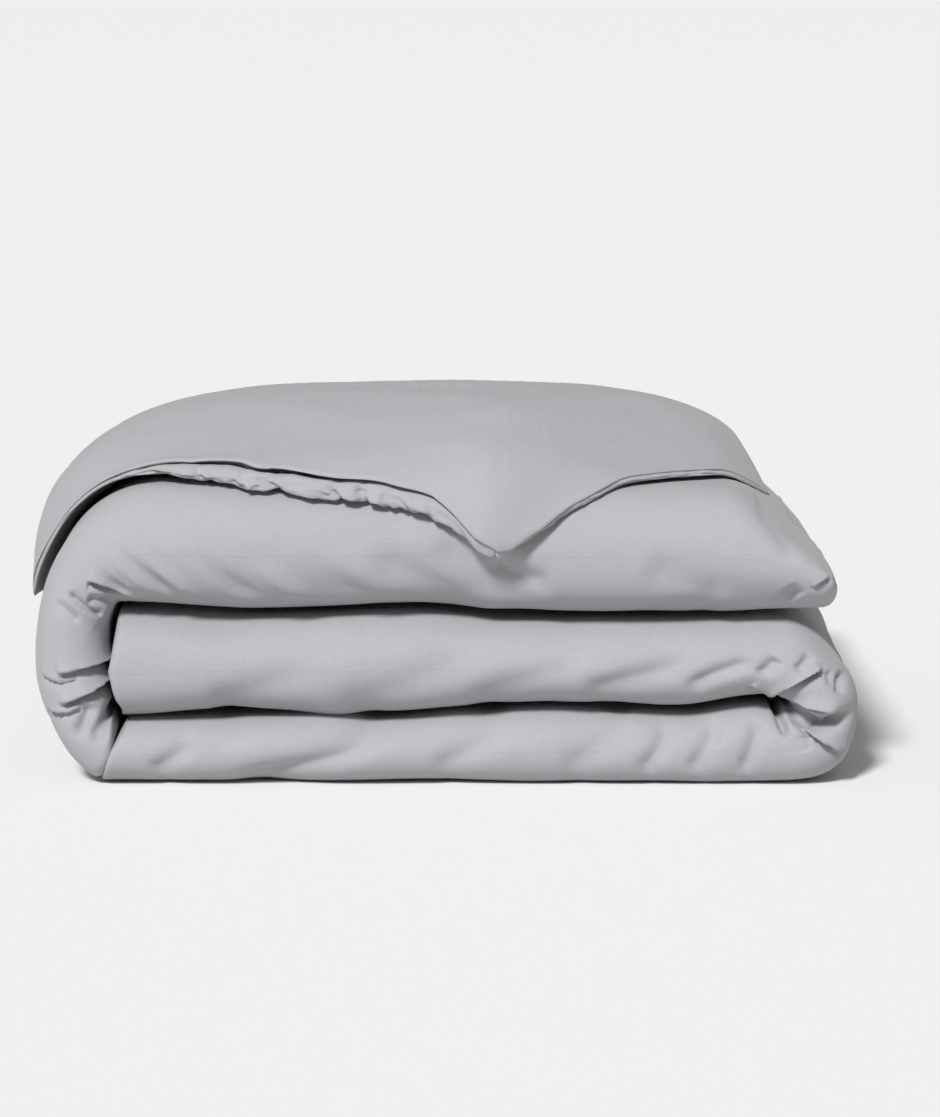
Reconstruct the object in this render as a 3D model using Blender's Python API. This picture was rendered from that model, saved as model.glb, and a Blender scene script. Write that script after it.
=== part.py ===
"""A single duvet in its cover, folded into a pile: the model in metres, +Z up, +X to the right.

The flat duvet is 1.35 m wide and 2.0 m long. It is first pleated across its width into three
sub-layers, a long strip whose section is an S lying on its side. That strip is then folded along its
length: middle leaf, right fold, lower leaf, left fold, upper leaf. A station is one cross section of
the strip, given by the point on its inner side and the point on its outer side in the XZ plane. Every
soft piece is the S section, inset by its own depth below the cover's surface, lofted from station to
station. The left fold is cut where it is widest, so the upper half turns with the upper leaf when that
is unfolded. The free corner of the top sub-layer hangs over the front and lifts on its own.
"""

from math import cos, pi, radians, sin

import bmesh
import bpy
from mathutils import Matrix, Vector

# Pile
LEAF_FRONT = -0.222
LEAF_BACK = 0.232
LOWER_TOP = 0.042
MIDDLE_BOTTOM = 0.045
MIDDLE_TOP = 0.117
UPPER_BOTTOM = 0.120
PILE_TOP = 0.268
RIGHT_FOLD_X = 0.245
LEFT_FOLD_X = -0.240
PILE_HALF_WIDTH = 0.300
LEFT_HOLLOW_REACH = 0.016
MIDDLE_END_X = -0.2075
UPPER_END_X = 0.262
END_DROP = 0.050
END_DROP_START_X = 0.060

# Duvet: three sub-layers, with the cover, the insert's casing and its filling inside one another
SUBLAYERS = 3
SUBLAYER_GAP = 0.0015
EDGE_SETBACK = 0.010
COVER_CLOTH = 0.0006
CASING_CLOTH = 0.0005
CLEARANCE = 0.00035
BUTT_GAP = 0.0003
BEND_STEPS = 4
FOLD_STEPS = 8
LEAF_STEPS = 5

# Ends of the cover
PLACKET_CLOTH = 0.0015
PLACKET_END_X = -0.232
END_SEAM_WIDTH = 0.006
CORNER_ROOM = 0.026

# Buttons, ties and label
BUTTON_RADIUS = 0.0075
BUTTON_THICKNESS = 0.0024
BUTTON_RIM = 0.0012
BUTTON_HOLE_RADIUS = 0.0009
BUTTON_HOLE_SPACING = 0.0016
BUTTON_Y = (-0.11, 0.11)
TAPE_WIDTH = 0.008
TAPE_LENGTH = 0.018
TAPE_THICKNESS = 0.001
KNOT_RADIUS = 0.0032
LABEL_SIZE = (0.017, 0.032, 0.0004)

# Hanging corner of the top sub-layer
CORNER_LEFT_X = -0.150
CORNER_TIP_X = 0.039
CORNER_RIGHT_X = 0.198
CORNER_TOP_Z = 0.2235
CORNER_TIP_Z = 0.165
CORNER_FRONT = -0.232
CORNER_BACK = -0.2225
HEM_WIDTH = 0.008

SHADES = {
    "cover_cotton": ((0.47, 0.475, 0.49), 0.85),
    "insert_cotton": ((0.86, 0.86, 0.85), 0.80),
    "wadding": ((0.93, 0.93, 0.92), 0.95),
    "button_resin": ((0.40, 0.41, 0.42), 0.35),
    "cotton_tape": ((0.80, 0.80, 0.79), 0.85),
}


def clear_scene():
    for obj in list(bpy.data.objects):
        bpy.data.objects.remove(obj, do_unlink=True)


def make_material(name):
    """A Principled material in one of the shades, made once and shared."""
    found = bpy.data.materials.get(name)
    if found:
        return found
    colour, roughness = SHADES[name]
    made = bpy.data.materials.new(name)
    made.use_nodes = True
    shader = made.node_tree.nodes["Principled BSDF"]
    shader.inputs["Base Color"].default_value = (*colour, 1.0)
    shader.inputs["Roughness"].default_value = roughness
    shader.inputs["Metallic"].default_value = 0.0
    return made


def add_object(name, bm, shade):
    """Turns a bmesh into a named object whose faces point outwards."""
    bmesh.ops.recalc_face_normals(bm, faces=bm.faces[:])
    mesh = bpy.data.meshes.new(name)
    bm.to_mesh(mesh)
    bm.free()
    mesh.materials.append(make_material(shade))
    mesh.shade_smooth()
    mesh.set_sharp_from_angle(angle=radians(35))
    obj = bpy.data.objects.new(name, mesh)
    bpy.context.scene.collection.objects.link(obj)
    return obj


# The pleated section


def sublayer_pitch(station):
    inner, outer = station
    return ((outer - inner).length + SUBLAYER_GAP) / SUBLAYERS


def sublayer_level(pitch, index):
    """Height of a sub-layer's mid-surface above the strip's inner side, counted from 0."""
    return (index + 0.5) * pitch - SUBLAYER_GAP / 2


def section_line(pitch, inset):
    """Centreline of the pleated duvet in (y, n), with the direction of its face side at each point.

    It runs from the free front edge of the top sub-layer, round the back bend, forward, round the
    front bend, and back to the free rear edge of the bottom sub-layer. n counts from the strip's
    inner side.
    """
    half = (pitch - SUBLAYER_GAP) / 2
    radius = pitch / 2
    front = LEAF_FRONT + half + radius
    back = LEAF_BACK - half - radius
    low, middle, high = (sublayer_level(pitch, index) for index in range(SUBLAYERS))
    line = [(Vector((LEAF_FRONT + EDGE_SETBACK + inset, high)), Vector((0, 1)))]
    for step in range(BEND_STEPS + 1):
        angle = pi / 2 - pi * step / BEND_STEPS
        out = Vector((cos(angle), sin(angle)))
        line.append((Vector((back, (middle + high) / 2)) + radius * out, out))
    for step in range(BEND_STEPS + 1):
        angle = pi / 2 + pi * step / BEND_STEPS
        out = Vector((cos(angle), sin(angle)))
        line.append((Vector((front, (low + middle) / 2)) + radius * out, -out))
    line.append((Vector((LEAF_BACK - EDGE_SETBACK - inset, low)), Vector((0, 1))))
    return line


def band(line, low, high):
    """Outline between two offsets from a line, as a closed loop of (y, n) points."""
    face_side = [point + high * normal for point, normal in line]
    under_side = [point + low * normal for point, normal in reversed(line)]
    return face_side + under_side


def in_space(station, outline):
    """(y, n) points of a section placed in the station's plane."""
    inner, outer = station
    out = (outer - inner).normalized()
    return [Vector((inner.x + out.x * n, y, inner.y + out.y * n)) for y, n in outline]


def duvet_ring(station, inset):
    """The pleated duvet's outline at a station, inset below the cover's outer surface."""
    pitch = sublayer_pitch(station)
    half = (pitch - SUBLAYER_GAP) / 2 - inset
    return in_space(station, band(section_line(pitch, inset), -half, half))


def strip_ring(station, low, high, inset=0.0):
    """A thin layer of the pleated duvet, between two distances from its mid-surface."""
    return in_space(station, band(section_line(sublayer_pitch(station), inset), low, high))


# Stations along the strip


def leaf_stations(x_from, x_to, inner_z, outer_z, steps=1):
    """Upright sections from one x to another; outer_z is a height or a function of x."""
    stations = []
    for step in range(steps + 1):
        x = x_from + (x_to - x_from) * step / steps
        z = outer_z(x) if callable(outer_z) else outer_z
        stations.append((Vector((x, inner_z)), Vector((x, z))))
    return stations


def half_ellipse(centre, side, reach, rise):
    """Points round half an ellipse, from straight up, out to one side, to straight down."""
    points = []
    for step in range(FOLD_STEPS + 1):
        angle = pi / 2 - pi * step / FOLD_STEPS
        points.append(centre + Vector((side * reach * cos(angle), rise * sin(angle))))
    return points


def fold_stations(x, side, inner_span, inner_reach, outer_span, outer_reach):
    """Sections fanned round a fold; a span is the (lower, upper) height its half ellipse joins."""
    sides = []
    for (low, high), reach in ((inner_span, inner_reach), (outer_span, outer_reach)):
        centre = Vector((x, (low + high) / 2))
        sides.append(half_ellipse(centre, side, reach, (high - low) / 2))
    return list(zip(*sides))


def nudged(station, distance):
    """A section moved square to its own line, towards +X for a positive distance."""
    inner, outer = station
    line = (outer - inner).normalized()
    square = Vector((line.y, -line.x))
    return (inner + distance * square, outer + distance * square)


def upper_top(x):
    """Height of the pile's top: level, then falling as a parabola towards the free end."""
    past = max(0.0, x - END_DROP_START_X) / (UPPER_END_X - END_DROP_START_X)
    return PILE_TOP - END_DROP * past**2


def strip_segments():
    """The folded strip's stretches, by name, each a list of stations."""
    crease = (MIDDLE_BOTTOM - LOWER_TOP) / 2
    right_fold = fold_stations(
        RIGHT_FOLD_X,
        1,
        (LOWER_TOP, MIDDLE_BOTTOM),
        crease,
        (0.0, MIDDLE_TOP),
        PILE_HALF_WIDTH - RIGHT_FOLD_X,
    )
    left_fold = fold_stations(
        LEFT_FOLD_X,
        -1,
        (LOWER_TOP, UPPER_BOTTOM),
        LEFT_HOLLOW_REACH,
        (0.0, PILE_TOP),
        PILE_HALF_WIDTH + LEFT_FOLD_X,
    )
    widest = FOLD_STEPS // 2
    upper_half = left_fold[:widest] + [nudged(left_fold[widest], BUTT_GAP / 2)]
    lower_half = [nudged(left_fold[widest], -BUTT_GAP / 2)] + left_fold[widest + 1 :]
    return {
        "middle_leaf": leaf_stations(
            MIDDLE_END_X, RIGHT_FOLD_X - BUTT_GAP, MIDDLE_BOTTOM, MIDDLE_TOP
        ),
        "right_fold": right_fold,
        "lower_leaf": leaf_stations(
            LEFT_FOLD_X + BUTT_GAP, RIGHT_FOLD_X - BUTT_GAP, LOWER_TOP, 0.0
        ),
        "left_fold_lower": lower_half,
        "left_fold_upper": upper_half,
        "upper_leaf": leaf_stations(
            LEFT_FOLD_X + BUTT_GAP, UPPER_END_X, UPPER_BOTTOM, upper_top, LEAF_STEPS
        ),
    }


# Lofting


def ring_vertices(bm, rings):
    return [[bm.verts.new(point) for point in ring] for ring in rings]


def join_rings(bm, rows):
    """Triangles between matching points of each ring and the next, all split the same way."""
    for row, after in zip(rows, rows[1:]):
        count = len(row)
        for i in range(count):
            j = (i + 1) % count
            bm.faces.new((row[i], row[j], after[j]))
            bm.faces.new((row[i], after[j], after[i]))


def loft_solid(name, rings, shade):
    """A closed solid through a list of rings."""
    bm = bmesh.new()
    rows = ring_vertices(bm, rings)
    join_rings(bm, rows)
    bm.faces.new(rows[0])
    bm.faces.new(rows[-1])
    return add_object(name, bm, shade)


def loft_sleeve(name, outer_rings, inner_rings, shade):
    """A sleeve of cloth, open at both ends, between an outer and an inner set of rings."""
    bm = bmesh.new()
    outer = ring_vertices(bm, outer_rings)
    inner = ring_vertices(bm, inner_rings)
    join_rings(bm, outer)
    join_rings(bm, inner)
    for end in (0, -1):
        join_rings(bm, [outer[end], inner[end]])
    return add_object(name, bm, shade)


# Cover and insert


def between(station, after, room):
    """The section a given distance in X from a station, on the straight run to the next one."""
    share = room / abs(after[0].x - station[0].x)
    return tuple(point.lerp(other, share) for point, other in zip(station, after))


def shortened(stations, start_room, end_room):
    """The same stretch of strip with room left before its first and after its last section."""
    moved = list(stations)
    if start_room:
        moved[0] = between(stations[0], stations[1], start_room)
    if end_room:
        moved[-1] = between(stations[-1], stations[-2], end_room)
    return moved


def build_duvet(name, stations):
    """One stretch of duvet: the cover's sleeve, the insert's casing in it, and the filling."""
    start_room = CORNER_ROOM if name == "middle_leaf" else 0.0
    end_room = CORNER_ROOM if name == "upper_leaf" else 0.0
    insert = shortened(stations, start_room, end_room)
    casing_depth = COVER_CLOTH + CLEARANCE
    filling_depth = casing_depth + CASING_CLOTH + CLEARANCE
    loft_sleeve(
        f"cover_{name}",
        [duvet_ring(station, 0.0) for station in stations],
        [duvet_ring(station, COVER_CLOTH) for station in stations],
        "cover_cotton",
    )
    loft_sleeve(
        f"insert_casing_{name}",
        [duvet_ring(station, casing_depth) for station in insert],
        [duvet_ring(station, casing_depth + CASING_CLOTH) for station in insert],
        "insert_cotton",
    )
    loft_solid(
        f"insert_filling_{name}",
        [duvet_ring(station, filling_depth) for station in insert],
        "wadding",
    )


def build_end_seams(segments):
    """Sewn ends: the insert's two, and the cover's one at the free end of the upper leaf."""
    clear = BUTT_GAP + CLEARANCE
    inner_start = segments["middle_leaf"][0][0].x + CORNER_ROOM - clear
    insert_inner = leaf_stations(inner_start - END_SEAM_WIDTH, inner_start, MIDDLE_BOTTOM, MIDDLE_TOP)
    insert_outer_x = UPPER_END_X - CORNER_ROOM + clear
    insert_outer = leaf_stations(
        insert_outer_x, insert_outer_x + END_SEAM_WIDTH, UPPER_BOTTOM, upper_top(UPPER_END_X)
    )
    cover_outer = leaf_stations(
        UPPER_END_X + clear, UPPER_END_X + clear + END_SEAM_WIDTH, UPPER_BOTTOM, upper_top(UPPER_END_X)
    )
    inside = COVER_CLOTH + CLEARANCE
    seams = {
        "insert_seam_inner_end": (insert_inner, inside, "insert_cotton"),
        "insert_seam_outer_end": (insert_outer, inside, "insert_cotton"),
        "cover_seam_outer_end": (cover_outer, 0.0, "cover_cotton"),
    }
    for name, (stations, inset, shade) in seams.items():
        rings = [
            strip_ring(station, -PLACKET_CLOTH, PLACKET_CLOTH, inset) for station in stations
        ]
        loft_solid(name, rings, shade)


def closure_stations():
    return leaf_stations(PLACKET_END_X, MIDDLE_END_X - BUTT_GAP, MIDDLE_BOTTOM, MIDDLE_TOP)


def build_closure():
    """The cover's mouth: two hemmed plackets lying face to face, with a row of buttons through them."""
    stations = closure_stations()
    gap = CLEARANCE / 2
    for name, low, high in (
        ("closure_placket_face", gap, gap + PLACKET_CLOTH),
        ("closure_placket_under", -gap - PLACKET_CLOTH, -gap),
    ):
        loft_solid(name, [strip_ring(station, low, high) for station in stations], "cover_cotton")


def button_places():
    """Centre and facing of each button: two on the face side of each sub-layer of the mouth."""
    pitch = sublayer_pitch(closure_stations()[0])
    lift = CLEARANCE / 2 + PLACKET_CLOTH + CLEARANCE
    x = (PLACKET_END_X + MIDDLE_END_X) / 2
    places = []
    for sublayer in range(SUBLAYERS):
        facing = -1 if sublayer == 1 else 1
        z = MIDDLE_BOTTOM + sublayer_level(pitch, sublayer) + facing * lift
        places += [(Vector((x, y, z)), facing) for y in BUTTON_Y]
    return places


def button_blank(name):
    """A turned disc with a raised rim, its back at z = 0."""
    profile = [
        (0.0, 0.0),
        (BUTTON_RADIUS - BUTTON_RIM / 2, 0.0),
        (BUTTON_RADIUS, BUTTON_RIM / 2),
        (BUTTON_RADIUS, BUTTON_THICKNESS - BUTTON_RIM / 3),
        (BUTTON_RADIUS - BUTTON_RIM / 2, BUTTON_THICKNESS),
        (BUTTON_RADIUS - BUTTON_RIM, BUTTON_THICKNESS - BUTTON_RIM / 3),
        (BUTTON_RADIUS - 2 * BUTTON_RIM, BUTTON_THICKNESS - BUTTON_RIM),
        (0.0, BUTTON_THICKNESS - BUTTON_RIM),
    ]
    bm = bmesh.new()
    verts = [bm.verts.new((r, 0.0, z)) for r, z in profile]
    edges = [bm.edges.new(pair) for pair in zip(verts, verts[1:])]
    bmesh.ops.spin(
        bm, geom=verts + edges, cent=(0, 0, 0), axis=(0, 0, 1), angle=2 * pi, steps=16
    )
    bmesh.ops.remove_doubles(bm, verts=bm.verts[:], dist=1e-6)
    return add_object(name, bm, "button_resin")


def thread_holes():
    """Four cutters, one for each thread hole, as a single helper object."""
    bm = bmesh.new()
    for step in range(4):
        turn = pi / 4 + step * pi / 2
        away = Vector((cos(turn), sin(turn), 0)) * BUTTON_HOLE_SPACING * 2**0.5
        bmesh.ops.create_cone(
            bm,
            cap_ends=True,
            segments=6,
            radius1=BUTTON_HOLE_RADIUS,
            radius2=BUTTON_HOLE_RADIUS,
            depth=BUTTON_THICKNESS * 3,
            matrix=Matrix.Translation(away),
        )
    cutter = add_object("thread_hole_cutter", bm, "button_resin")
    cutter.hide_render = True
    cutter.display_type = "WIRE"
    return cutter


def build_buttons():
    cutter = thread_holes()
    for number, (centre, facing) in enumerate(button_places(), start=1):
        button = button_blank(f"button_{number}")
        button.location = centre
        if facing < 0:
            button.rotation_euler = (pi, 0, 0)
        drill = cutter.copy()
        drill.name = f"thread_hole_cutter_{number}"
        bpy.context.scene.collection.objects.link(drill)
        drill.location = centre
        cut = button.modifiers.new("thread_holes", "BOOLEAN")
        cut.operation = "DIFFERENCE"
        cut.object = drill


def build_tie(name, centre):
    """A tape from the cover's corner with its knot round the insert's loop, as one solid."""
    bm = bmesh.new()
    bmesh.ops.create_cube(
        bm,
        size=1.0,
        matrix=Matrix.Diagonal((TAPE_LENGTH, TAPE_WIDTH, TAPE_THICKNESS, 1.0)),
    )
    tape = add_object(name, bm, "cotton_tape")
    tape.location = centre
    knot_bm = bmesh.new()
    bmesh.ops.create_icosphere(knot_bm, subdivisions=2, radius=KNOT_RADIUS)
    knot = add_object(f"{name}_knot_helper", knot_bm, "cotton_tape")
    knot.location = centre
    knot.hide_render = True
    knot.display_type = "WIRE"
    join = tape.modifiers.new("knot", "BOOLEAN")
    join.operation = "UNION"
    join.object = knot


def build_ties_and_label():
    """Ties at the flat duvet's corners that stay in the pile, and the blank care label."""
    pitch = (MIDDLE_TOP - MIDDLE_BOTTOM + SUBLAYER_GAP) / SUBLAYERS
    inner_x = MIDDLE_END_X + TAPE_LENGTH / 2 + 0.0005
    end_pitch = (upper_top(UPPER_END_X) - UPPER_BOTTOM + SUBLAYER_GAP) / SUBLAYERS
    outer_x = UPPER_END_X - TAPE_LENGTH / 2 - 0.0005
    front_y = LEAF_FRONT + EDGE_SETBACK + 0.012
    back_y = LEAF_BACK - EDGE_SETBACK - 0.012
    build_tie("corner_tie_inner_front", (inner_x, front_y, MIDDLE_BOTTOM + sublayer_level(pitch, 2)))
    build_tie("corner_tie_inner_back", (inner_x, back_y, MIDDLE_BOTTOM + sublayer_level(pitch, 0)))
    build_tie("corner_tie_outer_back", (outer_x, back_y, UPPER_BOTTOM + sublayer_level(end_pitch, 0)))
    bm = bmesh.new()
    bmesh.ops.create_cube(bm, size=1.0, matrix=Matrix.Diagonal((*LABEL_SIZE, 1.0)))
    label = add_object("care_label", bm, "cotton_tape")
    label.location = (inner_x, 0.0, MIDDLE_BOTTOM + sublayer_level(pitch, 2))


# Hanging corner


def corner_outline(inset, top):
    """The corner's triangle in (x, z), drawn in from its two hemmed edges, with its open side at top."""
    tip = Vector((CORNER_TIP_X, CORNER_TIP_Z))
    corners = []
    for x in (CORNER_LEFT_X, CORNER_RIGHT_X):
        shoulder = Vector((x, CORNER_TOP_Z))
        edge = (shoulder - tip).normalized()
        inward = inset / abs(edge.y)
        side = 1 if x < CORNER_TIP_X else -1
        rise = (top - CORNER_TOP_Z) / edge.y
        corners.append(shoulder + rise * edge + Vector((side * inward, 0)))
    slopes = [(tip - Vector((x, CORNER_TOP_Z))).normalized() for x in (CORNER_LEFT_X, CORNER_RIGHT_X)]
    opening = abs(slopes[0].angle_signed(slopes[1])) / 2
    drawn_tip = tip + Vector((0, inset / max(sin(opening), 0.05)))
    return [corners[0], corners[1], drawn_tip]


def corner_prism(name, inset, top, y_front, y_back, shade):
    rings = [
        [Vector((point.x, y, point.y)) for point in corner_outline(inset, top)]
        for y in (y_front, y_back)
    ]
    return loft_solid(name, rings, shade)


def build_corner():
    """The corner's pocket of cover, the insert's tip in it, and the two hems along its edges."""
    pocket = corner_prism(
        "corner_cover", HEM_WIDTH + CLEARANCE, CORNER_TOP_Z, CORNER_FRONT, CORNER_BACK, "cover_cotton"
    )
    room = corner_prism(
        "corner_room_helper",
        HEM_WIDTH + CLEARANCE + 2 * COVER_CLOTH,
        CORNER_TOP_Z + 0.004,
        CORNER_FRONT + COVER_CLOTH,
        CORNER_BACK - COVER_CLOTH,
        "cover_cotton",
    )
    room.hide_render = True
    room.display_type = "WIRE"
    hollow = pocket.modifiers.new("hollow", "BOOLEAN")
    hollow.operation = "DIFFERENCE"
    hollow.object = room
    corner_prism(
        "corner_insert",
        HEM_WIDTH + 3 * COVER_CLOTH + 2 * CLEARANCE,
        CORNER_TOP_Z - 0.001,
        CORNER_FRONT + COVER_CLOTH + CLEARANCE,
        CORNER_BACK - COVER_CLOTH - CLEARANCE,
        "insert_cotton",
    )
    build_hem("corner_side_hem", CORNER_LEFT_X)
    build_hem("corner_end_hem", CORNER_RIGHT_X)


def build_hem(name, shoulder_x):
    """A flat hem from the corner's tip up to one of its shoulders."""
    outer = corner_outline(0.0, CORNER_TOP_Z)
    inner = corner_outline(HEM_WIDTH, CORNER_TOP_Z)
    index = 0 if shoulder_x < CORNER_TIP_X else 1
    middle = Vector((BUTT_GAP / 2 * (1 if index else -1), 0))
    quad = [outer[index], inner[index], inner[2] + middle, outer[2] + middle]
    rings = [
        [Vector((point.x, y, point.y)) for point in quad]
        for y in (CORNER_FRONT + 0.003, CORNER_BACK - 0.003)
    ]
    loft_solid(name, rings, "cover_cotton")


def main():
    clear_scene()
    segments = strip_segments()
    for name, stations in segments.items():
        build_duvet(name, stations)
    build_end_seams(segments)
    build_closure()
    build_buttons()
    build_ties_and_label()
    build_corner()


main()
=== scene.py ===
from math import cos, pi, radians, sin

import bpy
import numpy as np
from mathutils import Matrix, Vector


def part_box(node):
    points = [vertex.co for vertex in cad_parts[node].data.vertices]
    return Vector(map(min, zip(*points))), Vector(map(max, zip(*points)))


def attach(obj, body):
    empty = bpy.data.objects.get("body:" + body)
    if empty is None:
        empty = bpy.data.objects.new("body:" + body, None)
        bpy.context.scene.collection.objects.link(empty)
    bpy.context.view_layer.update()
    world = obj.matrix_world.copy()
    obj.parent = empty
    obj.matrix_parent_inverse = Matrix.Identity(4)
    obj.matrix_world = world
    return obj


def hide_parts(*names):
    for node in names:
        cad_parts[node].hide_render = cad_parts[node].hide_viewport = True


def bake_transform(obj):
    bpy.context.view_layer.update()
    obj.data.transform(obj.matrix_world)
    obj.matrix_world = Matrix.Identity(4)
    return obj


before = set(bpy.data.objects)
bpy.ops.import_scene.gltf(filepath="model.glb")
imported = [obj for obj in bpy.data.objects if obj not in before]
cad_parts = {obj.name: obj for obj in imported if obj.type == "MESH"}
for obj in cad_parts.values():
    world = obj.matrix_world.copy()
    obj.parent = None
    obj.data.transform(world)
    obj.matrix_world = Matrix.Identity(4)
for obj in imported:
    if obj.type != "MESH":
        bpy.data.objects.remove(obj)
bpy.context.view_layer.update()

# The folded pile, in metres: leaves along X, folds at both ends, sub-layers from front to back.
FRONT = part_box("cover_upper_leaf")[0].y
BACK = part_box("cover_upper_leaf")[1].y
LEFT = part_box("cover_left_fold_lower")[0].x
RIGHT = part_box("cover_right_fold")[1].x
# Soft leaves settle a little higher than the solids inside them, with room between their sides.
MIDDLE_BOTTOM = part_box("cover_middle_leaf")[0].z + 0.0085
MIDDLE_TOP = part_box("cover_middle_leaf")[1].z + 0.0065
LOWER_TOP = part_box("cover_lower_leaf")[1].z + 0.006
UPPER_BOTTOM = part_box("cover_upper_leaf")[0].z + 0.0085
CORNER_TIP_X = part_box("corner_side_hem")[1].x

# Points along a section: half its nose, each of its sides, and each bend at its back.
NOSE_STEPS = 56
SIDE_STEPS = 56
BACK_STEPS = 18
# Distance between stations along a strip, in metres.
GRID = 0.0018
# The superellipse of every nose: 2 is an ellipse, and more is squarer.
NOSE_SQUARENESS = 2.05
# How far the innermost sub-layer's free edge stays short of the back.
EDGE_SHORT = 0.012
# Right ends of the upper leaf's inner and outer side.
INNER_END_X = 0.292
OUTER_END_X = 0.258
# How far the top sub-layer and its hems stay clear of the cloth below them.
CLEARANCE = 0.0008
# How far the pile's top sinks towards the back.
SINK = 0.040
# A crease wider than this is a soft hollow, and a narrower one is a pleat's edge.
SOFT_WIDTH = 0.0029


# Curves


def smooth(x):
    """Smoothstep of x clipped to 0..1."""
    x = np.clip(x, 0.0, 1.0)
    return x * x * (3 - 2 * x)


def power(x, n):
    """x to the power n with its sign kept."""
    return np.sign(x) * np.abs(x) ** n


def quarter(centre, reach, height, exponent, angles):
    """Points on a superellipse about a centre, at angles in radians; reach and height are signed."""
    x = centre[0] + reach * power(np.cos(angles), 2 / exponent)
    z = centre[1] + height * power(np.sin(angles), 2 / exponent)
    return np.stack([x, z], axis=-1)


def along(points):
    """Arc length from the first point to each point of a polyline."""
    steps = np.linalg.norm(np.diff(points, axis=0), axis=1)
    return np.concatenate([[0.0], np.cumsum(steps)])


def resample(inner, outer, spacing):
    """Both sides of a strip resampled evenly along the outer one; lengths are of the middle line."""
    walked = along(outer) + 0.5 * along(inner)
    count = int(along(outer)[-1] / spacing) + 1
    at = np.linspace(0, walked[-1], count)
    sides = []
    for side in (inner, outer):
        sides.append(np.stack([np.interp(at, walked, side[:, k]) for k in (0, 1)], axis=-1))
    return sides[0], sides[1], along((sides[0] + sides[1]) / 2)


def eased(at, xs, values):
    """Values given at a few places, joined by smoothsteps."""
    at = np.asarray(at, float)
    out = np.full(at.shape, float(values[0]))
    for x0, x1, v0, v1 in zip(xs, xs[1:], values, values[1:]):
        out = np.where(at >= x0, v0 + (v1 - v0) * smooth((at - x0) / (x1 - x0)), out)
    return out


# Stations: the inner and outer side of the strip, seen from the front


def inner_strip():
    """Middle leaf, right fold and lower leaf.

    Both sides of the strip follow the middle leaf to the right, half a superellipse round the right
    fold, and the lower leaf back to the left fold's crease.
    """
    fold_x = 0.246
    turn = np.linspace(pi / 2, -pi / 2, 60)
    leaf = np.linspace(0, 1, 40)[:-1]
    start = LEFT + 0.0565
    tuck, tuck_reach = 0.0065, 0.09
    lifted = MIDDLE_BOTTOM - tuck * (1 - smooth(leaf * (fold_x - start) / tuck_reach))
    inner_leaf = np.stack([start + (fold_x - start) * leaf, lifted], -1)
    outer_leaf = np.stack([start + (fold_x - start) * leaf, 0 * leaf + MIDDLE_TOP], -1)
    crease = (MIDDLE_BOTTOM + LOWER_TOP) / 2
    inner_fold = quarter((fold_x, crease), 0.003, 0.0015, 2.0, turn)
    centre_z = 0.052
    upper = quarter((fold_x, centre_z), RIGHT - fold_x, MIDDLE_TOP - centre_z, 1.6, turn[:30])
    lower = quarter((fold_x, centre_z), RIGHT - fold_x, centre_z, 2.7, turn[30:])
    outer_fold = np.concatenate([upper, lower])
    end = np.array([LEFT + 0.052, LEFT + 0.029])
    inner_back = np.stack([fold_x + (end[0] - fold_x) * leaf[1:], 0 * leaf[1:] + LOWER_TOP], -1)
    outer_back = np.stack([fold_x + (end[1] - fold_x) * leaf[1:], 0 * leaf[1:]], -1)
    return (
        np.concatenate([inner_leaf, inner_fold, inner_back]),
        np.concatenate([outer_leaf, outer_fold, outer_back]),
    )


def outer_strip():
    """Left fold and upper leaf, without the top sub-layer.

    The inner side hugs the middle leaf's end. The outer side starts at the crease on the ground, swings
    out in two superellipse quarters and levels off under the top sub-layer.
    """
    turn = np.linspace(-pi / 2, pi / 2, 81)
    centre_z, top_z = 0.078, 0.219
    inner_centre = (LEFT + 0.062, (LOWER_TOP + UPPER_BOTTOM) / 2)
    inner_turn = quarter(inner_centre, -0.008, (UPPER_BOTTOM - LOWER_TOP) / 2, 2.0, turn)
    low = quarter((LEFT + 0.053, centre_z), -0.053, centre_z, 1.6, turn[:41])
    high = quarter((LEFT + 0.108, centre_z), -0.108, top_z - centre_z, 2.3, turn[41:])
    outer_turn = np.concatenate([low, high])
    leaf = np.linspace(0, 1, 60)[1:]
    inner_x = inner_turn[-1, 0] + (INNER_END_X - inner_turn[-1, 0]) * leaf
    inner_leaf = np.stack([inner_x, 0 * leaf + inner_turn[-1, 1]], -1)
    x = outer_turn[-1, 0] + (OUTER_END_X - outer_turn[-1, 0]) * leaf
    drop = 0.004 * np.clip((x - 0.06) / 0.18, 0, None) ** 2 + 0.030 * smooth((x - 0.200) / 0.07)
    outer_leaf = np.stack([x, outer_turn[-1, 1] - drop], -1)
    return np.concatenate([inner_turn, inner_leaf]), np.concatenate([outer_turn, outer_leaf])


# Sections: (y, n), n counted from the strip's inner side


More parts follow.
